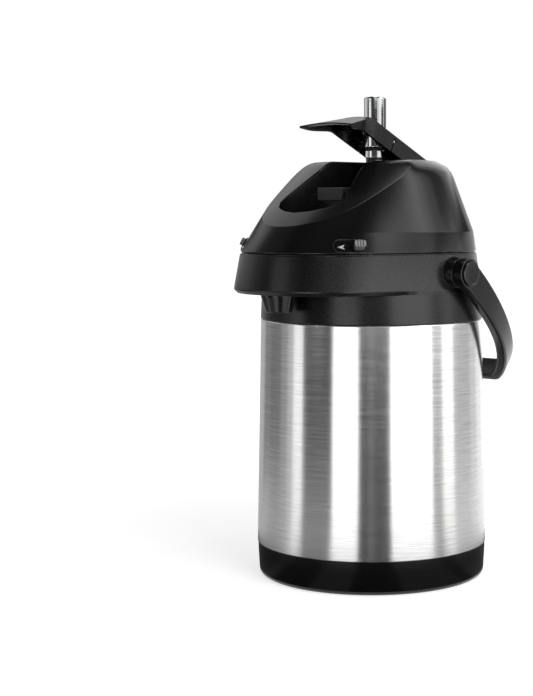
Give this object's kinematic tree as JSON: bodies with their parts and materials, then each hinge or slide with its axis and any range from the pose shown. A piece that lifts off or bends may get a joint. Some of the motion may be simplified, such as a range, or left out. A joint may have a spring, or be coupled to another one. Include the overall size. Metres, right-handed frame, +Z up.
{
  "type": "lever pump pot",
  "caption": "Lever-action vacuum pump pot: brushed steel body, black beaked collar and hinged head, raised pump lever with chrome lock knob, bail handle behind.",
  "frame": {"origin": "on the flask's vertical axis, at the underside of the foot pad", "axes": "+Z up along the flask axis; the spout points to -Y; +X is to the right seen from the front"},
  "size_m": [0.187, 0.219, 0.3454],
  "materials": {
    "satin_black": "satin moulded black plastic, fine texture",
    "gloss_black": "glossy black plastic",
    "brushed_steel": "stainless steel brushed round the body",
    "flask_steel": "plain drawn stainless steel",
    "chrome": "polished chrome plating",
    "steel_hardware": "plain steel wire and pins",
    "black_rubber": "matt rubber",
    "clear_silicone": "milky silicone",
    "inner_plastic": "dark grey moulded plastic",
    "latch_grey": "grey moulded plastic with grip ribs"
  },
  "bodies": {
    "pot": {"base_ring": "satin_black", "foot_pad": "black_rubber", "outer_casing": "brushed_steel", "casing_bottom": "flask_steel", "inner_flask": "flask_steel", "stopper_gasket": "clear_silicone", "stopper": "inner_plastic", "dip_tube": "flask_steel", "outlet_hose": "clear_silicone", "spout_nozzle": "gloss_black", "collar": "satin_black", "lid_hinge_pin": "steel_hardware", "handle_pins": "steel_hardware"},
    "lid": {"head_shell": "satin_black", "lid_underplate": "inner_plastic", "lid_screws": "steel_hardware", "air_seal": "black_rubber", "air_valve": "black_rubber", "bellows": "black_rubber", "return_spring": "steel_hardware", "guide_bush": "inner_plastic", "lever_hinge_pin": "steel_hardware"},
    "lever_arm": {"lever": "satin_black", "lever_cross_pin": "steel_hardware"},
    "plunger": {"plunger_plate": "inner_plastic", "plunger_rod": "steel_hardware", "plunger_post": "chrome"},
    "lock": {"lock_knob": "chrome"},
    "right_latch": {"latch_right": "latch_grey"},
    "left_latch": {"latch_left": "latch_grey"},
    "handle": {"handle_bail": "satin_black", "handle_caps": "satin_black"}
  },
  "joints": [
    {"name": "lid_hinge", "type": "hinge", "parent": "pot", "child": "lid", "pos_m": [0, 0.084, 0.2325], "axis": [-1, 0, 0], "range_deg": [0, 85]},
    {"name": "lever_press", "type": "hinge", "parent": "lid", "child": "lever_arm", "pos_m": [0, 0.044, 0.2925], "axis": [1, 0, 0], "range_deg": [0, 25]},
    {"name": "plunger_slide", "type": "slide", "parent": "lid", "child": "plunger", "axis": [0, 0, -1], "range_m": [0, 0.01758], "stiffness_N_per_m": 150, "springref_m": -0.016, "deforming": ["bellows", "return_spring"]},
    {"name": "knob_turn", "type": "hinge", "parent": "plunger", "child": "lock", "pos_m": [0, 0.004, 0.334], "axis": [0, 0, 1], "range_deg": [0, 90]},
    {"name": "right_latch_slide", "type": "slide", "parent": "lid", "child": "right_latch", "axis": [-0.5948, -0.8039, 0], "range_m": [0, 0.006], "stiffness_N_per_m": 300, "springref_m": -0.002},
    {"name": "left_latch_slide", "type": "slide", "parent": "lid", "child": "left_latch", "axis": [0.5948, -0.8039, 0], "range_m": [0, 0.006], "stiffness_N_per_m": 300, "springref_m": -0.002},
    {"name": "handle_swing", "type": "hinge", "parent": "pot", "child": "handle", "pos_m": [0, 0, 0.2195], "axis": [1, 0, 0], "range_deg": [0, 116]}
  ],
  "couplings": [
    {"joint": "lever_press", "follows": "plunger_slide", "rad_per_m": 24.812}
  ]
}
